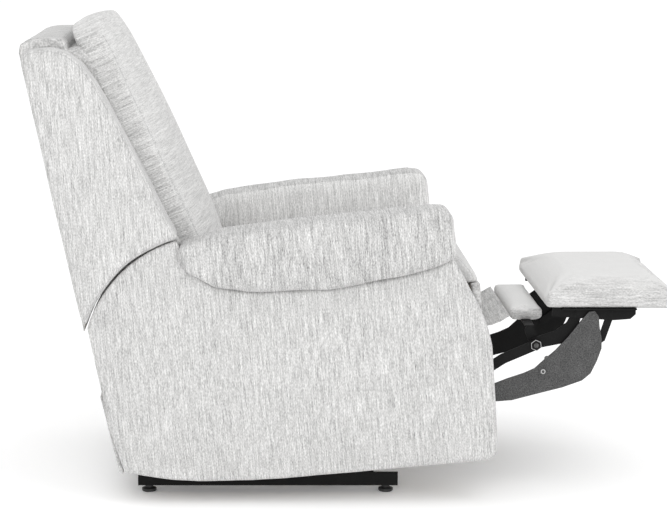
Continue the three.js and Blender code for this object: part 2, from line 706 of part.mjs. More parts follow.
function ottomanBracket(side) {
  const [rearU, rearZ] = [706, 416];
  const frontEnd = 898;
  const top = boardBottom - CONTACT_GAP;
  const bar = outline([
    [rearU, rearZ - 9], [rearU + 60, rearZ - 13], [frontEnd - 50, rearZ - 18], [frontEnd - 12, rearZ - 15],
    [frontEnd, rearZ - 4], [frontEnd, top], [rearU, top],
  ]);
  const plate = across(holed(bar, reclined(OTTOMAN_PIVOT)), BRACKET_LAYER, BRACKET_LAYER + THIN_STEEL);
  const flange = block(
    [BRACKET_LAYER, -frontEnd, top - THIN_STEEL],
    [BRACKET_LAYER + 18, -rearU - 20, top],
  );
  const rivets = [CURVED_LINK_PIVOT, FRONT_LINK_PIVOT].map(reclined).flatMap((place) => [
    ...rivetInward(place, BRACKET_LAYER, INNER_LAYER),
    ...rivetFace(place, BRACKET_LAYER + THIN_STEEL, 1.2, 7),
  ]);
  const made = fuse(plate, flange, ...rivets);
  return side === LEFT ? made : mirrored(made);
}

const boardReach = OTTOMAN_HALF_WIDTH - OTTOMAN_EDGE;
const boardRear = OTTOMAN_REAR + OTTOMAN_EDGE;
const boardFront = ottomanFront - OTTOMAN_EDGE;
const ottomanBoard = block([-boardReach, -boardFront, boardBottom], [boardReach, -boardRear, boardBottom + BOARD]);

function ottomanPad() {
  const profile = outline([
    [OTTOMAN_REAR, OTTOMAN_BOTTOM], [ottomanFront, OTTOMAN_BOTTOM],
    [ottomanFront, OTTOMAN_TOP], [OTTOMAN_REAR, OTTOMAN_TOP],
  ]);
  const body = across(profile, -OTTOMAN_HALF_WIDTH, OTTOMAN_HALF_WIDTH, 9, 2);
  const recess = block(
    [-boardReach - CONTACT_GAP, -boardFront - CONTACT_GAP, OTTOMAN_BOTTOM - 5],
    [boardReach + CONTACT_GAP, -boardRear + CONTACT_GAP, boardBottom + BOARD + CONTACT_GAP],
  );
  return cut(body, recess);
}

piece(chair, "ottoman_board", ottomanBoard, WOOD);
piece(chair, "ottoman_pad", ottomanPad(), CUSHION);

const padFront = PAD_REAR + PAD_LENGTH;
const padBoard = block(
  [6 - PAD_HALF_WIDTH, 6 - padFront, PAD_BOTTOM],
  [PAD_HALF_WIDTH - 6, -6 - PAD_REAR, PAD_BOTTOM + SLIM_BOARD],
);
const padProfile = outline([
  [PAD_REAR, PAD_BOTTOM + SLIM_BOARD + CONTACT_GAP], [padFront, PAD_BOTTOM + SLIM_BOARD + CONTACT_GAP],
  [padFront, PAD_TOP], [PAD_REAR, PAD_TOP],
]);

// An arm up from the pivot, and a foot reaching in under the pad's board.
function padArm(side) {
  const pivot = reclined(BAR_END);
  const footTop = PAD_BOTTOM - CONTACT_GAP;
  const head = [PAD_REAR + PAD_LENGTH / 2, footTop - 12];
  const plate = across(strap([pivot, head], 11, [pivot]), PAD_ARM_LAYER, PAD_ARM_LAYER + THIN_STEEL);
  const foot = block(
    [PAD_HALF_WIDTH - 50, -head[0] - 11, footTop - THIN_STEEL],
    [PAD_ARM_LAYER + THIN_STEEL, -head[0] + 11, footTop],
  );
  const made = fuse(plate, foot);
  return side === LEFT ? made : mirrored(made);
}

piece(chair, "pad_board", padBoard, WOOD);
piece(chair, "pad_cushion", across(padProfile, -PAD_HALF_WIDTH, PAD_HALF_WIDTH, 5, 2), CUSHION);
for (const [name, side] of SIDES) {
  piece(chair, `ottoman_bracket_${name}`, ottomanBracket(side), BLACK_STEEL);
  piece(chair, `pad_arm_${name}`, padArm(side), BLACK_STEEL);
}

// The cloth apron from the seat front to the small pad.
const [apronU, apronZ] = reclined(APRON_HINGE);
const apronEnd = [PAD_REAR - 15, PAD_TOP - 7];
const apron = outline([
  [apronU, apronZ], [apronEnd[0], apronEnd[1]],
  [apronEnd[0], apronEnd[1] + APRON_THICKNESS], [apronU, apronZ + APRON_THICKNESS],
]);
piece(chair, "apron", across(apron, -PAD_HALF_WIDTH, PAD_HALF_WIDTH), FABRIC);

// ---------------------------------------------------------------- datum
// The origin is under the middle of the chair, on the floor.

chair.updateMatrixWorld(true);
const bounds = new THREE.Box3().setFromObject(chair, true);
chair.position.set(-(bounds.min.x + bounds.max.x) / 2, -(bounds.min.y + bounds.max.y) / 2, -bounds.min.z);

// Pivots of the reclined chair as [forward, up] in the part's own frame, for its joints.
const placed = ([u, z]) => [u - chair.position.y, z + chair.position.z];
chair.userData.pivots = {
  rear_swing: placed(SWING_PIVOT_REAR),
  front_swing: placed(SWING_PIVOT_FRONT),
  seat_body: placed(SWING_PIN_OPEN),
  backrest: placed(reclined(BACK_PIVOT)),
  drive_links: placed(reclined(DRIVE_PIVOT)),
  long_links: placed(reclined(LONG_LINK_PIVOT)),
  ottoman: placed(reclined(OTTOMAN_PIVOT)),
  bar_links: placed(reclined(BAR_PIVOT)),
  curved_links: placed(reclined(CURVED_LINK_PIVOT)),
  front_links: placed(reclined(FRONT_LINK_PIVOT)),
  pad: placed(reclined(BAR_END)),
  apron: placed(reclined(APRON_HINGE)),
};

export default chair;
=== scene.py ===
"""The looks of the recliner armchair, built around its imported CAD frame.

Each soft CAD solid is copied, remeshed, shaped and given cloth; steel, wood and plastic
parts keep their CAD mesh and get finished materials.
"""

import json
import math

import bmesh
import bpy
import numpy as np
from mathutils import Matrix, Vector
from mathutils.bvhtree import BVHTree
from mathutils.kdtree import KDTree


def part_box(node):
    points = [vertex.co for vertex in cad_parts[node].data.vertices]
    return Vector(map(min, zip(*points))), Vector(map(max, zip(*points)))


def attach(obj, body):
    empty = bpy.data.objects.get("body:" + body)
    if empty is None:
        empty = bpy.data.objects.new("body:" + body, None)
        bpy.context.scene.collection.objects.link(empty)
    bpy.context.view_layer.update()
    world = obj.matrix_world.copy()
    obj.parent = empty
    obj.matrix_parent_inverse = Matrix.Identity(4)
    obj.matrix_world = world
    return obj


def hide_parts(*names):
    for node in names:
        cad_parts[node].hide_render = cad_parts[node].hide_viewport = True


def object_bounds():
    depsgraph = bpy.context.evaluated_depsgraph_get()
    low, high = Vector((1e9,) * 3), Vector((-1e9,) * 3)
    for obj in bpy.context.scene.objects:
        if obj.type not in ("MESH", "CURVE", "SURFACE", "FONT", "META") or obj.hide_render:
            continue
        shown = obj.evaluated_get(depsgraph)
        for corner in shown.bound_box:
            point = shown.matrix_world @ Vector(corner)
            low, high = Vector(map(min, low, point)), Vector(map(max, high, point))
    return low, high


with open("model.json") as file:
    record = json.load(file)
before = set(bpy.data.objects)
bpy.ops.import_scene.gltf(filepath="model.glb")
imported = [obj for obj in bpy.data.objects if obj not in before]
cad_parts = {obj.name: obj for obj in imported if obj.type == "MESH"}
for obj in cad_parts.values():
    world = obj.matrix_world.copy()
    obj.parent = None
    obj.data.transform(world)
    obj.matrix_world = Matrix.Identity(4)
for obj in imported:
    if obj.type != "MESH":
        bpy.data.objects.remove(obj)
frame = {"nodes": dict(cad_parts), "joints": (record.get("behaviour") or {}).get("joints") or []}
CAD_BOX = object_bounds()
NODES = frame["nodes"]

MM = 0.001
SIDES = {"left": 1.0, "right": -1.0}

# The seat body leans back by this much. Its own forward and up directions lean with it.
BODY_TILT = math.radians(5.5)
ACROSS = Vector((1, 0, 0))
FORWARD = Vector((0, -math.cos(BODY_TILT), math.sin(BODY_TILT)))
UP = Vector((0, math.sin(BODY_TILT), math.cos(BODY_TILT)))
LEVEL_UP = Vector((0, 0, 1))


# ------------------------------------------------------------------ mesh helpers

def coords(mesh):
    co = np.empty(len(mesh.vertices) * 3)
    mesh.vertices.foreach_get("co", co)
    return co.reshape(-1, 3)


def set_coords(mesh, co):
    mesh.vertices.foreach_set("co", co.astype(np.float32).ravel())
    mesh.update()


def normals(mesh):
    no = np.empty(len(mesh.vertices) * 3)
    mesh.vertices.foreach_get("normal", no)
    return no.reshape(-1, 3)


def new_object(name, mesh):
    obj = bpy.data.objects.new(name, mesh)
    bpy.context.scene.collection.objects.link(obj)
    return obj


def bake_modifiers(obj):
    """The object's mesh becomes what its modifiers make of it."""
    graph = bpy.context.evaluated_depsgraph_get()
    done = bpy.data.meshes.new_from_object(obj.evaluated_get(graph), depsgraph=graph)
    obj.modifiers.clear()
    old = obj.data
    obj.data = done
    bpy.data.meshes.remove(old)
    return obj


def smooth(obj, times):
    mod = obj.modifiers.new("smooth", "SMOOTH")
    mod.factor = 0.5
    mod.iterations = times
    return bake_modifiers(obj)


def subdivide(obj):
    mod = obj.modifiers.new("subdivision", "SUBSURF")
    mod.levels = 1
    mod.render_levels = 1
    return bake_modifiers(obj)


def shade(obj, angle=None):
    obj.data.polygons.foreach_set("use_smooth", [True] * len(obj.data.polygons))
    if angle is not None:
        bm = bmesh.new()
        bm.from_mesh(obj.data)
        for edge in bm.edges:
            if len(edge.link_faces) == 2 and edge.calc_face_angle(0) > angle:
                edge.smooth = False
        bm.to_mesh(obj.data)
        bm.free()
    obj.data.update()
    return obj


def cad_mesh(*nodes):
    """A welded copy of the mesh of one CAD node, or of several together."""
    bm = bmesh.new()
    for node in nodes:
        bm.from_mesh(NODES[node].data)
    bmesh.ops.remove_doubles(bm, verts=bm.verts, dist=0.02 * MM)
    mesh = bpy.data.meshes.new(nodes[0] + "_soft")
    bm.to_mesh(mesh)
    bm.free()
    return mesh


def remeshed(name, nodes, voxel, grow=0.0):
    """CAD solids as one even mesh that can be shaped. grow moves it out along its normals."""
    nodes = [nodes] if isinstance(nodes, str) else nodes
    obj = new_object(name, cad_mesh(*nodes))
    obj.data.materials.clear()
    mod = obj.modifiers.new("remesh", "REMESH")
    mod.mode = "VOXEL"
    mod.voxel_size = voxel
    bake_modifiers(obj)
    if grow:
        set_coords(obj.data, coords(obj.data) + normals(obj.data) * grow)
    return obj


# ------------------------------------------------------------------ reading the CAD solids

def split_faces(node, axis, limit=0.94):
    """The faces of a CAD solid that face along an axis, and the rim between them."""
    mesh = cad_mesh(node)
    bm = bmesh.new()
    bm.from_mesh(mesh)
    caps = [f for f in bm.faces if abs(f.normal.dot(axis)) > limit]
    rim = [f for f in bm.faces if abs(f.normal.dot(axis)) <= limit]
    return bm, caps, rim


def tree_of(faces):
    points = []
    polygons = []
    for face in faces:
        start = len(points)
        points.extend(v.co.copy() for v in face.verts)
        polygons.append(tuple(range(start, start + len(face.verts))))
    return BVHTree.FromPolygons(points, polygons)


def rim_distance(obj, node, axis):
    """How far each vertex is from the rim of its CAD solid."""
    bm, _, rim = split_faces(node, axis)
    tree = tree_of(rim)
    bm.free()
    return np.array([tree.find_nearest(Vector(p))[3] for p in coords(obj.data)])


def cap_loop(node, axis):
    """The outline of the CAD face that looks along axis, in order."""
    bm, caps, _ = split_faces(node, axis)
    chosen = {f for f in caps if f.normal.dot(axis) > 0}
    edges = [e for f in chosen for e in f.edges if sum(g in chosen for g in e.link_faces) == 1]
    links = {}
    for edge in edges:
        a, b = edge.verts
        links.setdefault(a, []).append(b)
        links.setdefault(b, []).append(a)
    first = edges[0].verts[0]
    loop = [first]
    before = None
    here = first
    while True:
        onward = [v for v in links[here] if v is not before]
        before, here = here, onward[0]
        if here is first or len(loop) > len(links):
            break
        loop.append(here)
    points = [v.co.copy() for v in loop]
    bm.free()
    return points


def smoothstep(value):
    value = np.clip(value, 0.0, 1.0)
    return value * value * (3 - 2 * value)


# ------------------------------------------------------------------ lines along a surface

def even_points(points, spacing, closed):
    """Points at an even spacing along a polyline."""
    pts = [np.array(p) for p in points]
    if closed:
        pts.append(pts[0])
    pts = np.array(pts)
    lengths = np.linalg.norm(np.diff(pts, axis=0), axis=1)
    place = np.concatenate([[0], np.cumsum(lengths)])
    count = max(int(place[-1] / spacing), 3)
    wanted = np.linspace(0, place[-1], count + 1)
    if closed:
        wanted = wanted[:-1]
    return np.stack([np.interp(wanted, place, pts[:, k]) for k in range(3)], axis=1)


def eased(points, times, closed):
    """A polyline with its corners rounded."""
    for _ in range(times):
        if closed:
            points = 0.5 * points + 0.25 * (np.roll(points, 1, 0) + np.roll(points, -1, 0))
        else:
            points[1:-1] = 0.5 * points[1:-1] + 0.25 * (points[:-2] + points[2:])
    return points


def snapped(points, obj, lift=0.0):
    """Points moved to the nearest place on a surface, and lifted off it."""
    tree = BVHTree.FromObject(obj, bpy.context.evaluated_depsgraph_get())
    out = []
    for p in points:
        spot, normal, _, _ = tree.find_nearest(Vector(p))
        out.append(spot + normal * lift)
    return np.array(out)


def tube(name, points, radius, closed, sides=6):
    """A closed tube through points, as a mesh."""
    pts = [Vector(p) for p in points]
    count = len(pts)
    bm = bmesh.new()
    rings = []
    side = None
    for i, here in enumerate(pts):
        ahead = pts[(i + 1) % count] if closed or i < count - 1 else here
        behind = pts[i - 1] if closed or i > 0 else here
        heading = (ahead - behind).normalized()
        if side is None:
            side = heading.orthogonal().normalized()
        side = (side - heading * side.dot(heading)).normalized()
        other = heading.cross(side)
        ring = []
        for k in range(sides):
            turn = 2 * math.pi * k / sides
            ring.append(bm.verts.new(here + radius * (side * math.cos(turn) + other * math.sin(turn))))
        rings.append(ring)
    spans = range(count if closed else count - 1)
    for i in spans:
        a, b = rings[i], rings[(i + 1) % count]
        for k in range(sides):
            j = (k + 1) % sides
            bm.faces.new((a[k], a[j], b[j], b[k]))
    if not closed:
        bm.faces.new(list(reversed(rings[0])))
        bm.faces.new(rings[-1])
    mesh = bpy.data.meshes.new(name)
    bmesh.ops.recalc_face_normals(bm, faces=bm.faces)
    bm.to_mesh(mesh)
    bm.free()
    return shade(new_object(name, mesh))


def groove(obj, points, width, depth):
    """A shallow trough pressed into a surface along a line of points."""
    tree = KDTree(len(points))
    for i, p in enumerate(points):
        tree.insert(Vector(p), i)
    tree.balance()
    co = coords(obj.data)
    no = normals(obj.data)
    away = np.array([tree.find(Vector(p))[2] for p in co])
    push = depth * np.exp(-((away / width) ** 2))
    set_coords(obj.data, co - no * push[:, None])
    return obj


# ------------------------------------------------------------------ cloth simulation

CLOTH_FRAMES = 20
CLOTH_PRESSURE = 4.0
CLOTH_STIFFNESS = 15.0


def inflate(obj, held, cap):
    """Swells a padded piece with air pressure, by no more than cap. held gives each vertex's pin weight."""
    scene = bpy.context.scene
    before = coords(obj.data)
    group = obj.vertex_groups.new(name="held")
    for level in (0.35, 0.7, 1.0):
        chosen = np.where((held > level - 0.35) & (held <= level))[0]
        group.add(chosen.tolist(), level, "REPLACE")
    mod = obj.modifiers.new("cloth", "CLOTH")
    cloth = mod.settings
    cloth.quality = 5
    cloth.mass = 0.3
    cloth.use_pressure = True
    cloth.uniform_pressure_force = CLOTH_PRESSURE
    cloth.tension_stiffness = CLOTH_STIFFNESS
    cloth.compression_stiffness = CLOTH_STIFFNESS
    cloth.shear_stiffness = 5.0
    cloth.bending_stiffness = 0.5
    cloth.air_damping = 3.0
    cloth.vertex_group_mass = "held"
    cloth.effector_weights.gravity = 0.0
    mod.collision_settings.use_collision = False
    mod.point_cache.frame_start = 1
    mod.point_cache.frame_end = CLOTH_FRAMES
    for step in range(1, CLOTH_FRAMES + 1):
        scene.frame_set(step)
    bake_modifiers(obj)
    scene.frame_set(1)
    moved = coords(obj.data) - before
    far = np.linalg.norm(moved, axis=1)
    scale = np.minimum(1.0, cap / np.maximum(far, 1e-9))
    set_coords(obj.data, before + moved * scale[:, None])
    obj.vertex_groups.clear()
    return smooth(obj, 2)


# ------------------------------------------------------------------ materials

def material(name):
    mat = bpy.data.materials.new(name)
    mat.use_nodes = True
    tree = mat.node_tree
    shader = tree.nodes["Principled BSDF"]
    return mat, tree, shader


def ramp(tree, source, low, high, dark, light):
    node = tree.nodes.new("ShaderNodeMapRange")
    node.inputs["From Min"].default_value = low
    node.inputs["From Max"].default_value = high
    node.inputs["To Min"].default_value = dark
    node.inputs["To Max"].default_value = light
    tree.links.new(source, node.inputs["Value"])
    return node.outputs["Result"]


def maths(tree, operation, a, b):
    node = tree.nodes.new("ShaderNodeMath")
    node.operation = operation
    for slot, value in ((0, a), (1, b)):
        if isinstance(value, (int, float)):
            node.inputs[slot].default_value = value
        else:
            tree.links.new(value, node.inputs[slot])
    return node.outputs[0]


def noise(tree, vector, scale, detail=2.0, rough=0.5):
    node = tree.nodes.new("ShaderNodeTexNoise")
    node.inputs["Scale"].default_value = scale
    node.inputs["Detail"].default_value = detail
    node.inputs["Roughness"].default_value = rough
    tree.links.new(vector, node.inputs["Vector"])
    return node.outputs["Fac"]


def stretched(tree, vector, scales):
    node = tree.nodes.new("ShaderNodeMapping")
    node.inputs["Scale"].default_value = scales
    tree.links.new(vector, node.inputs["Vector"])
    return node.outputs["Vector"]


def body_vector(tree, tilt):
    """Object coordinates turned so that Y and Z run along the leaning body."""
    place = tree.nodes.new("ShaderNodeTexCoord")
    turn = tree.nodes.new("ShaderNodeMapping")
    turn.inputs["Rotation"].default_value = (tilt, 0, 0)
    tree.links.new(place.outputs["Object"], turn.inputs["Vector"])
    return turn.outputs["Vector"]


def bump(tree, height, strength, distance, before=None):
    node = tree.nodes.new("ShaderNodeBump")
    node.inputs["Strength"].default_value = strength
    node.inputs["Distance"].default_value = distance
    tree.links.new(height, node.inputs["Height"])
    if before is not None:
        tree.links.new(before, node.inputs["Normal"])
    return node.outputs["Normal"]


def grey_colour(tree, value, warmth=(1.0, 0.995, 0.985)):
    node = tree.nodes.new("ShaderNodeCombineColor")
    for channel, share in zip(("Red", "Green", "Blue"), warmth):
        tree.links.new(maths(tree, "MULTIPLY", value, share), node.inputs[channel])
    return node.outputs["Color"]


def fabric(name, run, tone=0.70, contrast=1.0, tilt=BODY_TILT, turn=0.0, lit_top_shaded_sides=False):
    """Heathered chenille. run is the axis across the threads that show as streaks:
    the streaks lie in planes square to it. turn leans those planes about X.
    One flag mutes the heather on the top, standing in for the light that washes it out there, and gives the
    sides and the front painted shade: they are darker."""
    mat, tree, shader = material(name)
    vector = body_vector(tree, tilt + turn)
    axis = "XYZ".index(run)

    def scales(fine, coarse):
        return tuple(fine if k == axis else coarse for k in range(3))

    streak = noise(tree, stretched(tree, vector, scales(430, 24)), 1.0, 3.0, 0.6)
    slub = noise(tree, stretched(tree, vector, scales(150, 11)), 1.0, 2.0, 0.5)
    fleck = noise(tree, stretched(tree, vector, scales(620, 210)), 1.0, 1.0, 0.5)
    cloud = noise(tree, vector, 9.0, 2.0, 0.5)
    value = maths(tree, "ADD", ramp(tree, streak, 0.26, 0.74, -0.19, 0.16), tone)
    value = maths(tree, "ADD", value, ramp(tree, slub, 0.35, 0.7, -0.05, 0.05))
    value = maths(tree, "ADD", value, ramp(tree, fleck, 0.25, 0.75, -0.17, 0.145))
    value = maths(tree, "ADD", value, ramp(tree, cloud, 0.3, 0.7, -0.012, 0.012))
    share = contrast
    # The heather is muted on the top, standing in for the light that washes it out there.
    if lit_top_shaded_sides:
        facing = tree.nodes.new("ShaderNodeSeparateXYZ")
        tree.links.new(tree.nodes.new("ShaderNodeTexCoord").outputs["Normal"], facing.inputs["Vector"])
        other_side = maths(tree, "MULTIPLY", facing.outputs["X"], -1.0)
        to_front = maths(tree, "MULTIPLY", facing.outputs["Y"], -1.0)
        shaded_side_mask = maths(tree, "MAXIMUM", facing.outputs["X"], maths(tree, "MAXIMUM", other_side, to_front))
        share = ramp(tree, shaded_side_mask, 0.14, 0.6, 0.08 * contrast, contrast)
    value = maths(tree, "ADD", maths(tree, "MULTIPLY", maths(tree, "SUBTRACT", value, tone), share), tone)
    # Painted shade: the sides and the front are made darker than the top.
    if lit_top_shaded_sides:
        value = maths(tree, "ADD", value, ramp(tree, shaded_side_mask, 0.2, 0.7, 0.0, -0.10))
    tree.links.new(grey_colour(tree, value), shader.inputs["Base Color"])
    warp = noise(tree, stretched(tree, vector, scales(1100, 240)), 1.0, 1.0)
    weft = noise(tree, stretched(tree, vector, scales(240, 900)), 1.0, 1.0)
    weave = maths(tree, "ADD", warp, weft)
    soft = bump(tree, streak, 0.35 * contrast, 1.2 * MM)
    tree.links.new(bump(tree, weave, 0.5 * contrast, 0.5 * MM, soft), shader.inputs["Normal"])
    shader.inputs["Roughness"].default_value = 0.92
    shader.inputs["Specular IOR Level"].default_value = 0.15
    shader.inputs["Sheen Weight"].default_value = 0.22
    shader.inputs["Sheen Roughness"].default_value = 0.6
    shader.inputs["Sheen Tint"].default_value = (1, 1, 1, 1)
    return mat


def steel(name, tone, metal, rough, mottle=0.25, sheen=0.5):
    """Painted or plated plate: finely speckled by mottle, a little brighter on worn edges."""
    mat, tree, shader = material(name)
    vector = body_vector(tree, 0.0)
    broad = noise(tree, vector, 28.0, 4.0, 0.6)
    speck = noise(tree, vector, 360.0, 2.0, 0.6)
    value = ramp(tree, broad, 0.3, 0.7, tone * (1 - 0.25 * mottle), tone * (1 + 0.25 * mottle))
    value = maths(tree, "MULTIPLY", value, ramp(tree, speck, 0.3, 0.7, 1 - mottle, 1 + mottle))
    edge = tree.nodes.new("ShaderNodeNewGeometry")
    worn = ramp(tree, edge.outputs["Pointiness"], 0.52, 0.62, 0.0, 0.15 * tone)
    tree.links.new(grey_colour(tree, maths(tree, "ADD", value, worn), (1, 1, 1)), shader.inputs["Base Color"])
    tree.links.new(ramp(tree, speck, 0.2, 0.8, rough - 0.08, rough + 0.1), shader.inputs["Roughness"])
    shader.inputs["Metallic"].default_value = metal
    shader.inputs["Specular IOR Level"].default_value = sheen
    tree.links.new(bump(tree, speck, 0.25, 0.25 * MM), shader.inputs["Normal"])
    return mat


def wood(name):
    mat, tree, shader = material(name)
    vector = stretched(tree, body_vector(tree, BODY_TILT), (1.0, 1.0, 9.0))
    rings = tree.nodes.new("ShaderNodeTexWave")
    rings.wave_type = "BANDS"
    rings.bands_direction = "Z"
    rings.inputs["Scale"].default_value = 5.0
    rings.inputs["Distortion"].default_value = 7.0
    rings.inputs["Detail"].default_value = 3.0
    tree.links.new(vector, rings.inputs["Vector"])
    fibre = noise(tree, stretched(tree, body_vector(tree, BODY_TILT), (300, 12, 300)), 1.0, 3.0)
    mix = tree.nodes.new("ShaderNodeMix")
    mix.data_type = "RGBA"
    mix.inputs[6].default_value = (0.42, 0.27, 0.13, 1)
    mix.inputs[7].default_value = (0.66, 0.49, 0.29, 1)
    both_grains = maths(tree, "ADD", rings.outputs["Fac"], fibre)
    tree.links.new(maths(tree, "MULTIPLY", both_grains, 0.5), mix.inputs[0])
    tree.links.new(mix.outputs[2], shader.inputs["Base Color"])
    tree.links.new(bump(tree, fibre, 0.3, 0.4 * MM), shader.inputs["Normal"])
    shader.inputs["Roughness"].default_value = 0.72
    return mat


def plastic(name, tone, rough):
    mat, tree, shader = material(name)
    grain = noise(tree, body_vector(tree, 0.0), 900.0, 2.0)
    tree.links.new(grey_colour(tree, ramp(tree, grain, 0.3, 0.7, tone * 0.8, tone * 1.25), (1, 1, 1)),
                   shader.inputs["Base Color"])
    tree.links.new(bump(tree, grain, 0.3, 0.2 * MM), shader.inputs["Normal"])
    shader.inputs["Roughness"].default_value = rough
    return mat


def webbing(name):
    mat, tree, shader = material(name)
    vector = body_vector(tree, BODY_TILT)
    rib = noise(tree, stretched(tree, vector, (40, 600, 900)), 1.0, 1.0)
    value = ramp(tree, rib, 0.3, 0.7, 0.05, 0.16)
    tree.links.new(grey_colour(tree, value, (1, 1, 1)), shader.inputs["Base Color"])
    tree.links.new(bump(tree, rib, 0.6, 0.8 * MM), shader.inputs["Normal"])
    shader.inputs["Roughness"].default_value = 0.9
    return mat


BACK_LEAN = math.radians(18)  # the back cushion's front leans back from the body by this
CLOTH = {
    "side": fabric("cloth_side", "Y", tone=0.535),
    "roll": fabric("cloth_roll", "Y", tone=0.50, contrast=1.1),
    # Lighter than the rest of the one cloth: painted light on the shaded inner faces of the arms and their
    # rolls.
    "arm_inside_painted_light": fabric("cloth_arm_inside", "Y", tone=0.63),
    "wing": fabric("cloth_wing", "Y", tone=0.545, turn=math.radians(-2)),
    "wing_band": fabric("cloth_wing_band", "X", tone=0.54),
    "front": fabric("cloth_front", "X", tone=0.53),
    "boxing": fabric("cloth_boxing", "Z", tone=0.545, turn=BACK_LEAN),
    "pillow": fabric("cloth_pillow", "Z", tone=0.585, contrast=0.75, turn=BACK_LEAN),
    "seat": fabric("cloth_seat", "X", tone=0.54, contrast=0.5),
    # The footrest's tone is set high as painted light on its top; painted shade brings its sides and front
    # back down.
    "footrest": fabric("cloth_footrest", "Z", tone=0.625, contrast=0.85, tilt=0.0, lit_top_shaded_sides=True),
}
BLACK_STEEL = steel("black_steel_paint", 0.008, 0.0, 0.5, sheen=0.1)
GREY_STEEL = steel("grey_zinc_plate", 0.078, 0.2, 0.6, mottle=0.55, sheen=0.2)
DARK_BOARD = steel("stained_board", 0.03, 0.0, 0.7, sheen=0.1)
WIRE_STEEL = steel("spring_wire_steel", 0.35, 0.9, 0.35)
WORN_STEEL = steel("washer_worn_steel", 0.10, 0.4, 0.45, mottle=0.3, sheen=0.3)
BRIGHT_STEEL = steel("rivet_steel", 0.42, 0.8, 0.35, mottle=0.1)
WOOD = wood("frame_wood_grain")
GLIDE = plastic("glide_black_plastic", 0.022, 0.5)
STRAP = webbing("strap_weave")
THREAD = plastic("sewing_thread", 0.50, 0.8)
# The dark cord along the bottom of the seam troughs: painted shade in the crease.
SEAM_SHADOW = plastic("seam_shadow_cord", 0.36, 0.9)


def finish_cad(nodes, mat):
    for name in nodes:
        obj = NODES[name]
        obj.data.materials.clear()
        obj.data.materials.append(mat)


def both(*stems):
    return [f"{stem}_{side}" for stem in stems for side in SIDES]


finish_cad(both("base_rail", "rear_swing_link", "front_swing_link", "mechanism_plate", "back_hinge_arm",
                "drive_link", "bar_link", "curved_link", "front_link", "ottoman_bracket", "pad_arm")
           + ["base_crossbar_rear", "base_crossbar_front", "drive_tube"], BLACK_STEEL)
finish_cad(both("long_link"), GREY_STEEL)
for side, sign in SIDES.items():
    plate = NODES[f"long_link_{side}"].data
    plate.materials.append(BLACK_STEEL)
    for polygon in plate.polygons:
        polygon.material_index = 1 if polygon.normal.x * sign < 0.5 else 0
finish_cad(both("arm_frame", "seat_side_rail") + ["seat_front_rail", "seat_rear_rail"], WOOD)
finish_cad(["ottoman_board", "pad_board", "back_frame"], DARK_BOARD)
finish_cad(both("glide_rear", "glide_front"), GLIDE)
finish_cad(["seat_springs"], WIRE_STEEL)
finish_cad(["back_straps"], STRAP)


# ------------------------------------------------------------------ soft pieces

def dress(obj, body, node, mats):
    """Gives a soft piece its materials and its body, and hides the CAD node it stands for."""
    for mat in mats:
        obj.data.materials.append(mat)
    shade(obj)
    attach(obj, body)
    if node:
        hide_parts(node)
    return obj


def detail(obj, body, slot, mat):
    """A small piece that stands for no CAD node."""
    obj.data.materials.append(mat)
    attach(obj, body)
    return obj


def paint_faces(obj, chooser):
    """Sets each face's material from its centre and normal."""
    mesh = obj.data
    centres = np.empty(len(mesh.polygons) * 3)
    mesh.polygons.foreach_get("center", centres)
    facing = np.empty(len(mesh.polygons) * 3)
    mesh.polygons.foreach_get("normal", facing)
    index = chooser(centres.reshape(-1, 3), facing.reshape(-1, 3))
    mesh.polygons.foreach_set("material_index", index.astype(np.int32))
    mesh.update()


def spread(points, axis, amount):
    """A flat loop of points moved outwards in its own plane."""
    pts = np.array(points)
    ahead = np.roll(pts, -1, 0) - np.roll(pts, 1, 0)
    out = np.cross(ahead, np.array(axis))
    out /= np.maximum(np.linalg.norm(out, axis=1, keepdims=True), 1e-9)
    if np.sum(out * (pts - pts.mean(0))) < 0:
        out = -out
    return pts + out * amount


SEAM_WIDTH = 3.5 * MM
SEAM_DEPTH = 1.3 * MM
SEAM_SHADOW_RADIUS = 0.5 * MM


def seam(name, obj, points, body, slot):
    """A sewn seam round a loop: a shallow trough with a thin dark cord at its bottom, painted shade in the
    crease.
    """
    line = eased(even_points(points, 6 * MM, True), 5, True)
    line = snapped(line, obj)
    groove(obj, line, SEAM_WIDTH, SEAM_DEPTH)
    # The dark cord is painted shade in the crease of the seam.
    fold = tube(name, snapped(line, obj, -0.25 * SEAM_SHADOW_RADIUS), SEAM_SHADOW_RADIUS, True)
    return detail(fold, body, slot, SEAM_SHADOW)


def crowned(obj, node, axis, height, width, one_sided=None):
    """Bulges the faces that look along axis, most where they are far from the rim."""
    away = rim_distance(obj, node, axis)
    facing = normals(obj.data) @ np.array(axis)
    lift = height * smoothstep(away / width)
    keep = np.abs(facing) > 0.5
    if one_sided is not None:
        keep = facing * one_sided > 0.5
    push = np.where(keep, lift, 0.0) * np.sign(facing)
    set_coords(obj.data, coords(obj.data) + push[:, None] * np.array(axis))
    return obj


def flat_noise(co, wave, seed):
    """A smooth repeatable wobble over space, about -1 to 1."""
    rng = np.random.default_rng(seed)
    total = np.zeros(len(co))
    for _ in range(9):
        heading = rng.normal(size=3)
        heading /= np.linalg.norm(heading)
        total += np.sin(co @ heading * (2 * math.pi / (wave * rng.uniform(0.7, 1.5))) + rng.uniform(0, 6.3))
    return total / 3.0


def rumple(obj, depth, wave, seed):
    """Slight unevenness of padding under cloth."""
    co = coords(obj.data)
    set_coords(obj.data, co + normals(obj.data) * (depth * flat_noise(co, wave, seed))[:, None])
    return obj


def set_back(obj, direction, half, amount, width):
    """Moves the side edges of a cushion's face back, so that its middle stands proud."""
    co = coords(obj.data)
    direction = np.array(direction)
    depth = co @ direction
    near_edge = smoothstep((np.abs(co[:, 0]) - (half - width)) / width)
    share = smoothstep((depth - np.quantile(depth, 0.02)) / 0.12)
    facing = np.clip(normals(obj.data) @ direction + 0.35, 0, 1)
    set_coords(obj.data, co - direction * (amount * near_edge * share * facing)[:, None])
    return obj


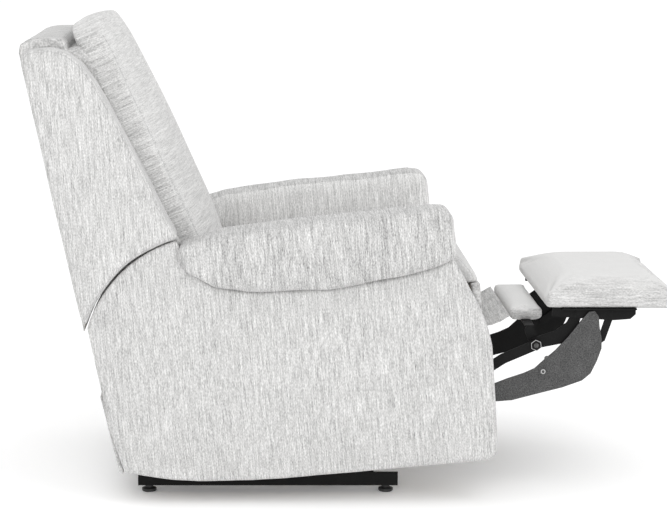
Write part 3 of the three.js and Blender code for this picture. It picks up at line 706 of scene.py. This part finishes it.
def edge_points(loop, towards, along, inset, start, end, count=60):
    """Points just inside the edge of an outline that lies furthest towards a direction."""
    pts = np.array(loop)
    towards = np.array(towards)
    along = np.array(along)
    level = pts @ along
    reach = pts @ towards
    low, high = level.min(), level.max()
    out = []
    for share in np.linspace(start, end, count):
        height = low + (high - low) * share
        best = None
        for k in range(len(pts)):
            m = (k + 1) % len(pts)
            if (level[k] - height) * (level[m] - height) <= 0 and level[k] != level[m]:
                mix = (height - level[k]) / (level[m] - level[k])
                here = reach[k] + (reach[m] - reach[k]) * mix
                best = here if best is None else max(best, here)
        across = pts[0] @ np.array(ACROSS)
        out.append(np.array(ACROSS) * across + towards * (best - inset) + along * height)
    return out


def topstitch(name, obj, points, body, slot):
    """One row of short thread stitches along a line on a surface."""
    line = eased(even_points(points, 3.5 * MM, False), 4, False)
    line = snapped(line, obj, 0.15 * MM)
    groove(obj, line, 2.2 * MM, 0.7 * MM)
    line = snapped(line, obj, 0.1 * MM)
    bm = bmesh.new()
    for start in range(0, len(line) - 2, 2):
        stitch = tube("stitch", line[start:start + 2], 0.6 * MM, False, 5)
        bm.from_mesh(stitch.data)
        mesh = stitch.data
        bpy.data.objects.remove(stitch)
        bpy.data.meshes.remove(mesh)
    mesh = bpy.data.meshes.new(name)
    bm.to_mesh(mesh)
    bm.free()
    return detail(shade(new_object(name, mesh)), body, slot, THREAD)


def padded_panel(name, node, crown, width, sign, seed):
    """A padded side panel: crowned on its outer face, which looks to the side that sign gives."""
    panel = remeshed(name, node, 5 * MM)
    smooth(panel, 5)
    crowned(panel, node, ACROSS, crown, width, sign)
    return rumple(panel, 0.7 * MM, 140 * MM, seed)


# The padded panels outside the arms.
for side, sign in SIDES.items():
    node = f"arm_outer_panel_{side}"
    panel = padded_panel(f"arm_side_cover_{side}", node, 4 * MM, 90 * MM, sign, seed=1)
    loop = cap_loop(node, ACROSS * sign)
    front = edge_points(loop, FORWARD, UP, 14 * MM, 0.03, 0.80)
    topstitch(f"arm_side_stitch_{side}", panel, front, "seat_body", "cover_fabric")
    dress(panel, "seat_body", node, [CLOTH["side"]])

# The wings beside the back cushion.
for side, sign in SIDES.items():
    node = f"back_wing_{side}"
    wing = padded_panel(f"wing_cover_{side}", node, 6 * MM, 70 * MM, sign, seed=3)
    loop = cap_loop(node, ACROSS * sign)
    seam(f"wing_outer_seam_{side}", wing, spread(loop, ACROSS, 7 * MM), "backrest", "cover_fabric")
    inner = cap_loop(node, ACROSS * -sign)
    seam(f"wing_inner_seam_{side}", wing, spread(inner, ACROSS, 7 * MM), "backrest", "cover_fabric")
    dress(wing, "backrest", node, [CLOTH["wing"], CLOTH["wing_band"]])
    paint_faces(wing, lambda c, n: (np.abs(n[:, 0]) < 0.6).astype(int))


def pull_end(obj, direction, reach, amount):
    """Draws the end of a piece out along a direction."""
    co = coords(obj.data)
    place = co @ direction
    share = smoothstep((place - (place.max() - reach)) / reach)
    set_coords(obj.data, co + direction * (amount * share)[:, None])
    return obj


def pleat_roll(roll, loop):
    """Creases where the cloth of an arm roll is tucked in behind.
    Each has its place from the rear end, its lower and upper end, and its depth, all in mm."""
    pts = np.array(loop)
    forward = pts @ np.array(FORWARD)
    up = pts @ np.array(UP)
    for back, low, high, depth in ((34, -2, 62, 3.0), (50, 4, 38, 1.6), (24, 30, 84, 1.4)):
        place = forward.min() + back * MM
        bottom = up[forward < place + 60 * MM].min()
        line = []
        for share in np.linspace(0, 1, 24):
            height = bottom + (low + (high - low) * share) * MM
            lean = 10 * MM * share * share
            spot = FORWARD * (place - lean) + UP * height
            line.append(np.array(spot) + np.array(ACROSS) * pts[0][0])
        groove(roll, snapped(eased(np.array(line), 3, False), roll), 4.5 * MM, depth * MM)


# The arm rolls: fat soft rolls, drawn out and gathered at the rear end.
for side, sign in SIDES.items():
    node = f"arm_roll_{side}"
    roll = remeshed(f"arm_roll_cover_{side}", node, 5 * MM, grow=2 * MM)
    smooth(roll, 11)
    crowned(roll, node, ACROSS, 5 * MM, 50 * MM)
    rumple(roll, 1.0 * MM, 110 * MM, 5)
    pull_end(roll, -np.array(FORWARD), 60 * MM, 12 * MM)
    pleat_roll(roll, cap_loop(node, ACROSS * sign))
    # The inner faces of the roll take the lighter arm-inside cloth: painted light.
    dress(roll, "seat_body", node, [CLOTH["roll"], CLOTH["arm_inside_painted_light"]])
    paint_faces(roll, lambda c, n, s=sign: (n[:, 0] * s < -0.35).astype(int))

# Flat panels: inside and front of the arms, the seat front, the rear.
for side, sign in SIDES.items():
    node = f"arm_inner_panel_{side}"
    panel = remeshed(f"arm_inner_cover_{side}", node, 5 * MM)
    smooth(panel, 4)
    # The lighter arm-inside cloth: painted light on the shaded inner panel.
    dress(panel, "seat_body", node, [CLOTH["arm_inside_painted_light"]])
    node = f"arm_front_panel_{side}"
    panel = remeshed(f"arm_front_cover_{side}", node, 4 * MM)
    smooth(panel, 4)
    crowned(panel, node, FORWARD, 4 * MM, 25 * MM, one_sided=1)
    dress(panel, "seat_body", node, [CLOTH["front"]])


def tuck_skirt(panel):
    """Draws up the hem of the back and sets it close to the body."""
    co = coords(panel.data)
    height = co @ np.array(UP)
    hem = height.min()
    fold = hem + 95 * MM
    lift = np.where(height < fold, (fold - height) * 0.5, 0.0)
    tuck = 6 * MM * (1 - smoothstep((height - hem) / (90 * MM)))
    set_coords(panel.data, co + np.array(UP) * lift[:, None] + np.array(FORWARD) * tuck[:, None])


FLAT_PANELS = {
    "seat_front_panel": "seat_body",
    "rear_lower_panel": "seat_body",
    "back_outer_panel": "backrest",
}
for node, body in FLAT_PANELS.items():
    panel = remeshed(node + "_cover", node, 4 * MM)
    smooth(panel, 4)
    if node == "rear_lower_panel":
        set_coords(panel.data, coords(panel.data) + np.array(FORWARD) * 7 * MM)
    if node == "back_outer_panel":
        tuck_skirt(panel)
    rumple(panel, 0.8 * MM, 150 * MM, 9)
    dress(panel, body, node, [CLOTH["front"]])


# ------------------------------------------------------------------ cushions

def bulge(obj, direction, across, along, amount, power):
    """Domes the face of a cushion that looks along a direction: highest in its middle."""
    co = coords(obj.data)
    direction = np.array(direction)
    facing = np.clip(normals(obj.data) @ direction * 1.3, 0, 1)
    dome = np.ones(len(co))
    for axis in (across, along):
        place = co @ np.array(axis)
        middle = (place.max() + place.min()) / 2
        half = (place.max() - place.min()) / 2
        dome *= 1 - np.abs((place - middle) / half) ** power
    set_coords(obj.data, co + direction * (amount * facing * np.clip(dome, 0, 1))[:, None])
    return obj


def gathers(obj, axis, along, depth, pitch):
    """Small puckers across the boxing of a cushion, running square to its seams."""
    co = coords(obj.data)
    no = normals(obj.data)
    place = co @ np.array(along)
    wander = flat_noise(co, 60 * MM, 2) * 5 * MM
    wave = np.sin((place + wander) * (2 * math.pi / pitch))
    strength = np.clip(flat_noise(co, 90 * MM, 3) * 0.5 + 0.6, 0, 1)
    beside = smoothstep((np.abs(no @ np.array(axis)) - 0.5) / 0.4)
    set_coords(obj.data, co + no * (depth * wave * strength * beside)[:, None])
    return obj


def cushion(name, node, body, mats, voxel, held, cap, chooser=None, shaping=None, smoothing=6,
            seams=True, lining=(), finishing=None, grow=0.0):
    """A filled cushion: the CAD block swollen by air pressure, with a sewn seam round each end."""
    pad = remeshed(name, [node, *lining], voxel, grow)
    smooth(pad, smoothing)
    if shaping is not None:
        shaping(pad)
    inflate(pad, held(coords(pad.data), normals(pad.data)), cap)
    if finishing is not None:
        finishing(pad)
    for side, sign in SIDES.items() if seams else ():
        loop = spread(cap_loop(node, ACROSS * sign), ACROSS, 6 * MM)
        seam(f"{name}_seam_{side}", pad, loop, body, "cushion_fabric")
    if chooser is not None:
        for mat in mats:
            pad.data.materials.append(mat)
        paint_faces(pad, chooser)
        mats = []
    subdivide(pad)
    return dress(pad, body, node, mats)


BACK_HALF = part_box("back_cushion")[1].x
SEAT_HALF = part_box("seat_cushion")[1].x
BACK_FACE = (FORWARD + UP * 0.42).normalized()
BACK_RUN = (UP - FORWARD * 0.42).normalized()


def hold_back(co, no):
    behind = np.clip(-(no @ np.array(BACK_FACE)) * 2.0, 0, 1)
    beside = smoothstep((np.abs(co[:, 0]) - (BACK_HALF - 14 * MM)) / (10 * MM))
    return np.maximum(behind, beside)


def hold_seat(co, no):
    below = np.clip(-(no @ np.array(UP)) * 2.0, 0, 1)
    beside = smoothstep((np.abs(co[:, 0]) - (SEAT_HALF - 14 * MM)) / (10 * MM))
    return np.maximum(below, beside)


def hold_level(co, no):
    return np.clip(-no[:, 2] * 2.0, 0, 1)


def shape_back(pad):
    """A deep pillow: its middle and top stand proud, its sides fill the space to the wings."""
    set_back(pad, BACK_FACE, BACK_HALF, 16 * MM, 110 * MM)
    bulge(pad, BACK_FACE, ACROSS, BACK_RUN, 22 * MM, 2.6)
    co = coords(pad.data)
    height = co @ np.array(BACK_RUN)
    head = 120 * MM
    share = smoothstep((height - (height.max() - head)) / head)
    middle = 1 - np.abs(co[:, 0] / BACK_HALF) ** 7
    set_coords(pad.data, co + np.array(BACK_RUN) * (30 * MM * share * np.clip(middle, 0, 1))[:, None])
    swell_sides(pad, 9 * MM)


def back_lining():
    """Padding behind the back cushion that closes the space above the frame."""
    pad = remeshed("back_lining", "back_cushion", 8 * MM)
    bm = bmesh.new()
    bm.from_mesh(pad.data)
    top = max(v.co.dot(UP) for v in bm.verts)
    everything = bm.verts[:] + bm.edges[:] + bm.faces[:]
    cut = UP * (top - 260 * MM)
    bmesh.ops.bisect_plane(bm, geom=everything, plane_co=cut, plane_no=UP, clear_inner=True)
    bmesh.ops.holes_fill(bm, edges=[e for e in bm.edges if e.is_boundary], sides=0)
    bmesh.ops.recalc_face_normals(bm, faces=bm.faces)
    bm.to_mesh(pad.data)
    bm.free()
    co = coords(pad.data)
    co[:, 0] *= (BACK_HALF + 9 * MM) / BACK_HALF
    set_coords(pad.data, co - np.array(FORWARD) * 42 * MM - np.array(UP) * 26 * MM)
    smooth(pad, 3)
    return dress(pad, "backrest", None, [CLOTH["front"]])


def swell_sides(pad, amount):
    """Moves the faces that look to either side outwards."""
    co = coords(pad.data)
    no = normals(pad.data)
    out = amount * smoothstep((np.abs(no[:, 0]) - 0.3) / 0.6) * np.sign(no[:, 0])
    co[:, 0] += out
    set_coords(pad.data, co)


def shape_footrest(pad):
    """A soft slab whose top falls away to its edges."""
    co = coords(pad.data)
    low = co[:, 2].min()
    high = co[:, 2].max()
    share = (co[:, 2] - low) / (high - low)
    fall = np.ones(len(co))
    for k in (0, 1):
        middle = (co[:, k].max() + co[:, k].min()) / 2
        half = (co[:, k].max() - co[:, k].min()) / 2
        fall *= 1 - np.abs((co[:, k] - middle) / half) ** 5
    co[:, 2] -= share * (4 * MM * fall + 9 * MM * (1 - fall))
    set_coords(pad.data, co)


cushion("back_cushion_cover", "back_cushion", "backrest", [CLOTH["pillow"], CLOTH["boxing"]], 6 * MM,
        hold_back, 24 * MM, chooser=lambda c, n: (np.abs(n[:, 0]) > 0.45).astype(int), shaping=shape_back,
        finishing=lambda pad: gathers(pad, ACROSS, BACK_RUN, 1.3 * MM, 19 * MM), smoothing=4)
back_lining()
cushion("seat_cushion_cover", "seat_cushion", "seat_body", [CLOTH["seat"]], 6 * MM, hold_seat, 22 * MM)
cushion("ottoman_cover", "ottoman_pad", "ottoman", [CLOTH["footrest"]], 5 * MM, hold_level, 22 * MM,
        smoothing=10, seams=False, lining=["ottoman_board"], shaping=shape_footrest)
cushion("small_pad_cover", "pad_cushion", "pad", [CLOTH["footrest"]], 4 * MM, hold_level, 8 * MM,
        smoothing=4, seams=False, grow=2.5 * MM, lining=["pad_board"],
        finishing=lambda pad: gathers(pad, ACROSS, LEVEL_UP, 1.0 * MM, 9 * MM))


def hang_apron():
    """Loose cloth from the seat front to the small pad: it sags, with a few soft folds."""
    cloth = remeshed("apron_cloth", "apron", 1.6 * MM)
    co = coords(cloth.data)
    to_seat = (co[:, 1] - co[:, 1].min()) / (co[:, 1].max() - co[:, 1].min())
    sag = np.sin(math.pi * to_seat) ** 0.8
    turns = co[:, 0] * 2 * math.pi
    folds = np.sin(turns / (78 * MM)) + 0.5 * np.sin(turns / (41 * MM) + 1.0)
    co[:, 2] += (3.2 * folds - 8) * MM * sag - (4 + 30 * to_seat) * MM
    co[:, 1] -= 9 * MM * (1 - to_seat)
    co[:, 0] *= 1.18
    set_coords(cloth.data, co)
    smooth(cloth, 2)
    return dress(cloth, "apron", "apron", [CLOTH["side"]])


hang_apron()


# ------------------------------------------------------------------ nuts and rings

def lathe_profile(name, place, rings, sides, sign, spin=0.0):
    """A turned piece on an axis across the chair. rings are (offset outwards, radius), in mm."""
    bm = bmesh.new()
    loops = []
    for offset, radius in rings:
        loop = []
        for k in range(sides):
            turn = 2 * math.pi * k / sides + spin
            spot = Vector((sign * offset, radius * math.cos(turn), radius * math.sin(turn)))
            loop.append(bm.verts.new(place + spot * MM))
        loops.append(loop)
    for a, b in zip(loops[:-1], loops[1:]):
        for k in range(sides):
            j = (k + 1) % sides
            bm.faces.new((a[k], a[j], b[j], b[k]))
    bm.faces.new(loops[0])
    bm.faces.new(loops[-1])
    bmesh.ops.recalc_face_normals(bm, faces=bm.faces)
    mesh = bpy.data.meshes.new(name)
    bm.to_mesh(mesh)
    bm.free()
    return shade(new_object(name, mesh), math.radians(28))


def joint_place(name):
    """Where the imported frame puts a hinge."""
    for joint in frame["joints"]:
        if joint["name"] == name:
            return Vector(joint["pos_m"])
    raise KeyError(name)


def outer_face(node):
    """How far from the middle plane a plate's outer face is."""
    low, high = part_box(node)
    return max(abs(low.x), abs(high.x))


def pivot_nut(side, sign):
    """A hexagon nut on a washer where the small pad's arm turns on each bar link."""
    radius = 12.5
    washer = 11.0
    stud = 0.45 * radius
    spin = 0.4
    place = joint_place("pad_hinge")
    place.x = sign * outer_face(f"bar_link_{side}")
    pieces = {
        "washer": ([(-0.1, washer), (1.0, washer), (1.3, washer - 0.6)], 28, 0.0, WORN_STEEL),
        "nut": ([(1.2, radius), (6.2, radius), (7.2, radius - 1.6)], 6, spin, BLACK_STEEL),
        "rim": ([(5.4, radius + 0.5), (6.6, radius + 0.5)], 6, spin, BRIGHT_STEEL),
        "stud": ([(6.9, stud), (8.6, stud), (9.1, 0.8 * stud)], 20, 0.0, GREY_STEEL),
    }
    for piece, (rings, sides, turn, mat) in pieces.items():
        turned = lathe_profile(f"pad_hinge_{side}_{piece}", place, rings, sides, sign, turn)
        detail(turned, "bar_links", "black_steel", mat)


def stop_ring(side, sign):
    """The small rolled ring of the stop on each long link."""
    tail = joint_place("long_link_hinge")
    head = joint_place("ottoman_hinge")
    run = head - tail
    beside = Vector((0, run.z, -run.y))
    place = tail + run * 0.443 - beside * 0.1205
    place.x = sign * outer_face(f"long_link_{side}")
    ring = lathe_profile(f"stop_ring_{side}", place, [(-0.1, 5.4), (0.8, 5.4)], 24, sign)
    detail(ring, "long_links", "grey_steel", BRIGHT_STEEL)
    middle = lathe_profile(f"stop_middle_{side}", place, [(0.2, 3.4), (1.1, 3.4)], 20, sign)
    detail(middle, "long_links", "grey_steel", GREY_STEEL)


for side, sign in SIDES.items():
    pivot_nut(side, sign)
    stop_ring(side, sign)


# ------------------------------------------------------------------ floor, light, camera

def area_light(name, place, target, size, power):
    data = bpy.data.lights.new(name, "AREA")
    data.shape = "SQUARE"
    data.size = size
    data.energy = power
    lamp = bpy.data.objects.new(name, data)
    lamp.location = place
    lamp.rotation_euler = (Vector(target) - Vector(place)).to_track_quat("-Z", "Y").to_euler()
    bpy.context.scene.collection.objects.link(lamp)


def studio():
    scene = bpy.context.scene
    scene.view_settings.view_transform = "Standard"
    world = bpy.data.worlds.new("studio")
    world.use_nodes = True
    background = world.node_tree.nodes["Background"]
    background.inputs["Color"].default_value = (1, 1, 1, 1)
    background.inputs["Strength"].default_value = 1.0
    scene.world = world
    half = 40.0
    corners = [(-half, -half, 0), (half, -half, 0), (half, half, 0), (-half, half, 0)]
    mesh = bpy.data.meshes.new("floor")
    mesh.from_pydata(corners, [], [(0, 1, 2, 3)])
    floor = new_object("floor", mesh)
    mat, tree, shader = material("floor_pale")
    faint = noise(tree, body_vector(tree, 0.0), 3.0, 2.0)
    tone = ramp(tree, faint, 0.2, 0.8, 0.965, 0.98)
    tree.links.new(grey_colour(tree, tone, (1, 1, 1)), shader.inputs["Base Color"])
    shader.inputs["Roughness"].default_value = 0.9
    shader.inputs["Emission Color"].default_value = (1, 1, 1, 1)
    shader.inputs["Emission Strength"].default_value = 0.1
    mesh.materials.append(mat)
    middle = (CAD_BOX[0] + CAD_BOX[1]) / 2
    area_light("key", (-2.0, -2.2, 3.8), middle, 2.6, 26)
    area_light("fill", (-3.9, 0.3, 1.9), middle, 2.8, 46)


def photo_camera():
    """Side-on from the sitter's right, a little above, as far off as a studio camera."""
    distance = 4.87
    height = 1.3234
    down = math.radians(9.634)
    ahead_of_rail_end = 0.247
    data = bpy.data.cameras.new("camera")
    data.lens = 110.97
    data.sensor_width = 36.0
    data.shift_x = 0.1327
    camera = bpy.data.objects.new("camera", data)
    camera.location = (-distance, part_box("base_rail_left")[1].y - ahead_of_rail_end, height)
    camera.rotation_euler = (math.pi / 2 - down, 0, -math.pi / 2)
    bpy.context.scene.collection.objects.link(camera)
    bpy.context.scene.camera = camera


studio()
photo_camera()
